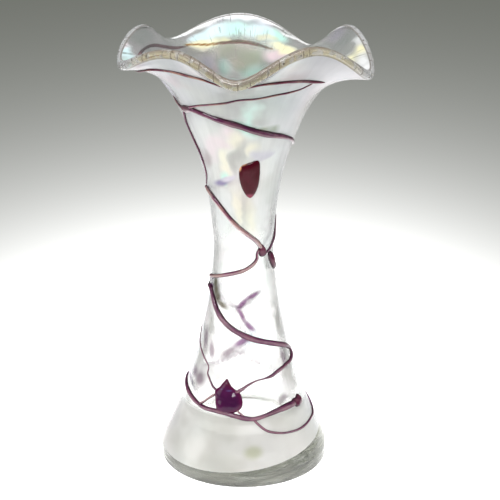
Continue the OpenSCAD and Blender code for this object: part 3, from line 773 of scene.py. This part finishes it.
# Threads: (angle, station, width) along each one
TRAILS = {
    "rim_thread": [(70, 237.5, 0.8), (82, 236, 1.4), (98, 236.5, 1.8), (112, 239, 1.6),
        (124, 242, 1.6), (136, 241, 2.2), (150, 239, 2.4), (165, 240, 1.8), (180, 242.5, 1.6),
        (196, 245, 1.6), (212, 244.5, 1.7), (226, 240.8, 1.7), (239, 239, 1.8), (252, 242, 1.6),
        (264, 243, 1.5), (276, 241.5, 1.6), (289, 236.2, 1.8), (301, 233, 1.9), (314, 232.6, 2.2),
        (326, 235, 1)],
    "collar_thread": [(316, 231.5, 1), (309, 227.5, 1.2), (300, 226.2, 1.4), (288, 226.8, 1.4),
        (277, 226.5, 1.5), (265, 224.8, 1.4), (253, 222.8, 1.4), (241, 219.8, 1.4),
        (230, 217.6, 1.5), (220, 216, 1.8)],
    "collar_spur": [(190, 219, 0.7), (193, 216.3, 1.6), (198, 213.8, 1.8), (210, 214.6, 2)],
    "side_thread": [(208, 212, 2), (202, 206, 1.9), (201, 200, 1.8), (202, 194, 1.8),
        (205, 188, 1.7), (206, 183, 1.6), (207, 178, 1.4), (206, 173.5, 1.3), (200, 169.5, 1.1),
        (193, 166.5, 1.4)],
    "shoulder_thread": [(220, 215.5, 2.4), (227, 215.5, 2.8), (234, 214.2, 3), (243, 212.5, 3.2),
        (252, 210.8, 3.4), (262, 208.4, 3.6), (274, 205.6, 3.6), (287, 202.6, 3.8),
        (300, 200.2, 3.4), (314, 198, 3), (330, 195, 2.6), (346, 191.5, 2.2), (362, 188.5, 2),
        (382, 185.5, 1.8), (404, 181, 1.6), (422, 173, 1.6), (440, 166.5, 1.6), (460, 162.5, 1.8),
        (482, 161, 1.8), (506, 160.5, 1.8), (530, 162.5, 2), (551, 164.8, 2.4)],
    "neck_thread": [(192, 165, 2.4), (206, 163.2, 3), (220, 159.6, 3.2), (233, 155.2, 3.2),
        (247, 150, 3), (262, 145.2, 2.8), (280, 140.4, 2.8), (297, 135.8, 2.8), (307, 131, 2.6)],
    "waist_spur": [(356, 148, 0.8), (357, 142.5, 1.4), (356, 137, 2), (340, 132.5, 2),
        (324, 129, 1.8), (312, 128.5, 1.8)],
    "waist_thread": [(303, 132, 1.8), (297, 129, 1.6), (296, 126, 1.8), (288, 123, 2.2),
        (272, 120, 2.4), (253, 118, 2.4), (233, 116, 2.2), (214, 114, 2.2), (198, 112.5, 2.4),
        (182, 111, 2.4), (168, 108, 2.4)],
    "hip_thread": [(164, 108.5, 2.4), (163, 105.8, 2.4), (172, 104.4, 2.6), (186, 105.4, 2.8),
        (198, 105.6, 3), (208, 102.8, 3.2), (221, 96.8, 3.2), (235, 91.4, 3.3), (250, 87.2, 3.4),
        (265, 84, 3.4), (279, 81.4, 3.4), (293, 79.2, 3.4), (308, 77, 3.4), (326, 74, 3.2),
        (341, 70.8, 2.8), (351, 67.6, 2.4)],
    "hip_return_thread": [(349, 68.2, 2.2), (350, 64.6, 2.4), (340, 62.4, 2.4), (326, 61.8, 2.4),
        (312, 60.4, 2.2), (302, 58.8, 1.8), (293, 58.2, 1), (284, 57.6, 1), (275, 55.6, 1.4),
        (267, 52.8, 2), (260, 50.8, 2.4)],
    "leaf_thread": [(166, 80, 0.6), (176, 79.5, 0.8), (184, 77.5, 0.9), (189, 74, 1), (199, 71, 1),
        (213, 67, 1), (225, 63, 0.9), (226, 59, 1), (230, 56.5, 1.2), (236, 53, 1.4),
        (241, 51.5, 1.6)],
    "leaf_strut": [(223, 41.2, 1.6), (228, 43, 1.4), (233, 45.8, 1.4), (240, 49, 1.8)],
    "leaf_vein": [(261, 43.5, 1.2), (266, 40.8, 1.2), (271, 38.5, 1.3)],
    "base_thread": [(140, 46, 1.6), (158, 46.5, 1.8), (174, 47, 2.2), (187, 46.2, 2.6),
        (198, 44.8, 2.8), (209, 43.2, 2.8), (220, 41.6, 2.6), (231, 40.4, 2.6), (243, 40.4, 2.6),
        (253, 40, 2.8), (262, 39, 3), (271, 37.8, 2.8), (280, 37.3, 2.4), (291, 38.5, 2.6),
        (301, 39.6, 3.2), (313, 40.2, 3.8), (325, 40.3, 4.2)],
    "loop_thread": [(279, 37, 1.6), (284, 33.5, 1.4), (291, 30, 1.4), (303, 27.5, 1.3),
        (314, 26.5, 1.3), (325, 26, 1.4), (341, 26.5, 1.6), (359, 27, 1.8), (370, 30.5, 1.6),
        (384, 35, 1.4), (402, 39, 1.3), (422, 42, 1.3), (440, 45, 1.4), (452, 51, 1.5)],
    "back_thread": [(60, 96, 1.2), (68, 93, 2), (82, 87.5, 2.2), (94, 83, 2), (97, 77.5, 1.6),
        (91, 71, 1.8), (85, 63, 2.2), (90, 54.5, 2.2), (103, 48.5, 2.2), (120, 46, 2),
        (138, 46, 1.8)],
    "back_branch": [(97, 83, 1.6), (112, 85.5, 1.8), (128, 91, 1.8), (145, 98, 2), (160, 104, 2.2)],
}
DARK_THREADS = {
    "base_thread", "loop_thread", "leaf_thread", "back_thread", "back_branch",
    "hip_return_thread", "hip_thread", "side_thread", "waist_spur", "shoulder_thread"}
# Dabs: middle, outline, height
DABS = {
    "collar_knot": ((217, 215), [(206, 213.6), (213, 217), (224, 217.4), (229, 215.2),
        (219, 212.8)], 2),
    "waist_knot": ((308, 130.2), [(299, 131.5), (304, 134.5), (313, 132.4), (319, 128.4),
        (311, 126.6), (302, 127.4)], 2.1),
    "waist_drop": ((336, 122.5), [(323, 127), (334, 128), (347, 123), (352, 117), (342, 116.6),
        (330, 120.6)], 2),
    "teardrop_prunt": ((278, 174.5), [(264.5, 178.5), (267.5, 182), (277, 184), (289, 185),
        (292.5, 179.5), (293, 172), (289.5, 166.3), (282, 162.8), (274.5, 164.3), (268, 168.8),
        (265, 173.5)], 2.6),
    "leaf_prunt": ((254, 46.5), [(252, 58.5), (257, 55), (262, 53), (266.5, 51.5), (269, 48),
        (269, 44.5), (266, 42), (260, 40.3), (252, 39.3), (246, 40), (242.5, 43.5), (241, 47),
        (239.5, 51), (244, 53.6), (248, 56.5)], 2.4),
    "bud_prunt": ((331, 40), [(323, 42.3), (329, 42.6), (334, 43.6), (339, 39.6), (335.5, 37.2),
        (326, 37.6)], 2.3),
    "back_prunt": ((148, 46), [(140, 46), (144, 50.6), (151, 52), (157, 47.5), (154, 42),
        (145, 40.6)], 2.4),
}

# ---- Stage ------------------------------------------------------------------------------

CAMERA_BACK, CAMERA_UP, CAMERA_ASIDE = 0.750, 0.378, 0.0037
CAMERA_PITCH = 18.57


def make_camera():
    """A long lens in front and above, looking down at the vase."""
    data = bpy.data.cameras.new("camera")
    data.lens, data.sensor_width = 100.0, 36.0
    camera = bpy.data.objects.new("camera", data)
    camera.location = (CAMERA_ASIDE, -CAMERA_BACK, CAMERA_UP)
    camera.rotation_euler = (math.radians(90 - CAMERA_PITCH), 0, 0)
    bpy.context.scene.collection.objects.link(camera)
    bpy.context.scene.camera = camera


def make_floor():
    """A wide pale floor that glows: its own light, painted as emission, is bright round the vase and
    falls off to grey further away.
    """
    bpy.ops.mesh.primitive_circle_add(vertices=128, radius=6.0, fill_type="NGON",
                                      location=(0, 0, -0.0003))
    floor = bpy.context.object
    floor.name = "floor"
    n = Nodes("floor")
    away = n.vector("DISTANCE", n.vector("MULTIPLY", n.place, (1.7, 1, 0)), (0, 0, 0))
    # Painted light: a glowing pool round the vase, by emission, that also lights the vase from below
    pool = n.math("DIVIDE", 0.21, n.math("POWER", n.math("MAXIMUM", away, 0.35), 2.0))
    grey = (0.122, 0.130, 0.110)
    glow = n.add("ShaderNodeCombineColor", {i: n.math("ADD", pool, g) for i, g in enumerate(grey)})
    n.set(Base_Color=rgb(0.0, 0.0, 0.0), Roughness=1.0, Specular_IOR_Level=0.0,
          Emission_Color=glow.outputs[0], Emission_Strength=1.0)
    floor.data.materials.append(n.material)


def make_light(name, place, target, size, watts):
    """A soft rectangular light at place that faces target."""
    data = bpy.data.lights.new(name, "AREA")
    data.shape, data.size, data.size_y = "RECTANGLE", size[0], size[1]
    data.energy = watts
    light = bpy.data.objects.new(name, data)
    light.location = place
    towards = np.array(target) - np.array(place)
    yaw = math.atan2(towards[1], towards[0])
    drop = math.acos(-towards[2] / np.linalg.norm(towards))
    light.rotation_euler = (drop, 0, yaw - math.pi / 2)
    bpy.context.scene.collection.objects.link(light)


def make_world():
    """Even grey light from all round."""
    world = bpy.data.worlds.new("studio")
    world.use_nodes = True
    back = world.node_tree.nodes["Background"]
    back.inputs["Color"].default_value = rgb(0.20, 0.21, 0.20)
    back.inputs["Strength"].default_value = 1.0
    bpy.context.scene.world = world


# ---- Making it all ----------------------------------------------------------------------

make_camera()
make_floor()
make_world()
make_light("softbox_top", (0.0, -0.2, 1.5), (0, 0, 0.15), (1.2, 0.8), 13)
make_light("softbox_front", (-0.35, -1.1, 1.15), (0, 0, 0.15), (0.5, 0.35), 10)
make_light("softbox_left", (-1.3, -0.4, 0.7), (0, 0, 0.15), (0.6, 1.2), 5)
make_light("softbox_right", (1.3, -0.2, 0.6), (0, 0, 0.15), (0.4, 1.0), 3)
bpy.context.scene.view_settings.view_transform = "Standard"

SATIN_OUT = satin_outside()
SATIN_IN = satin_inside()
LIP = lip_glass()
FOOT = foot_glass()
GROUND = ground_glass()
FUSED = fused_seam()
THREAD = amethyst_glass(
    "amethyst_thread", edge=(0.05, 0.004, 0.022), core=(0.28, 0.08, 0.16), warm=(0.46, 0.24, 0.23),
    under=(0.16, 0.04, 0.20), glint=0.55)
DARK_THREAD = amethyst_glass(
    "amethyst_dark", edge=(0.05, 0.004, 0.024), core=(0.15, 0.025, 0.095), warm=(0.28, 0.10, 0.17),
    under=(0.16, 0.04, 0.18), glint=0.2)
RIM_THREAD = amethyst_glass(
    "amethyst_rim", edge=(0.07, 0.006, 0.026), core=(0.24, 0.06, 0.10), warm=(0.46, 0.24, 0.18),
    under=(0.26, 0.06, 0.08), far=(0.22, 0.06, 0.08))
PRUNT = amethyst_glass(
    "amethyst_prunt", edge=(0.05, 0.004, 0.022), core=(0.12, 0.012, 0.05), warm=(0.20, 0.05, 0.09),
    under=(0.14, 0.03, 0.14), clear=0.2)
TEARDROP = amethyst_glass(
    "maroon_prunt", edge=(0.075, 0.002, 0.010), core=(0.068, 0.0015, 0.008),
    warm=(0.082, 0.003, 0.013), under=(0.12, 0.01, 0.03), spots=TEARDROP_SPOTS, clear=0.05, shine=0.1)
LEAF = amethyst_glass(
    "violet_prunt", edge=(0.10, 0.006, 0.050), core=(0.040, 0.005, 0.040), warm=(0.060, 0.008, 0.055),
    under=(0.06, 0.01, 0.06), spots=LEAF_SPOTS, clear=0.05, shine=0.2)
DAB_GLASS = {"teardrop_prunt": TEARDROP, "leaf_prunt": LEAF}


def thread_glass(name):
    if name == "rim_thread":
        return RIM_THREAD
    return DARK_THREAD if name in DARK_THREADS else THREAD


make_body()
make_foot()
for number, (name, route) in enumerate(TRAILS.items()):
    make_trail(name, route, thread_glass(name), seed=number)
for number, (name, (middle, outline, tall)) in enumerate(DABS.items()):
    make_dab(name, middle, outline, tall, DAB_GLASS.get(name, PRUNT), 50 + number)
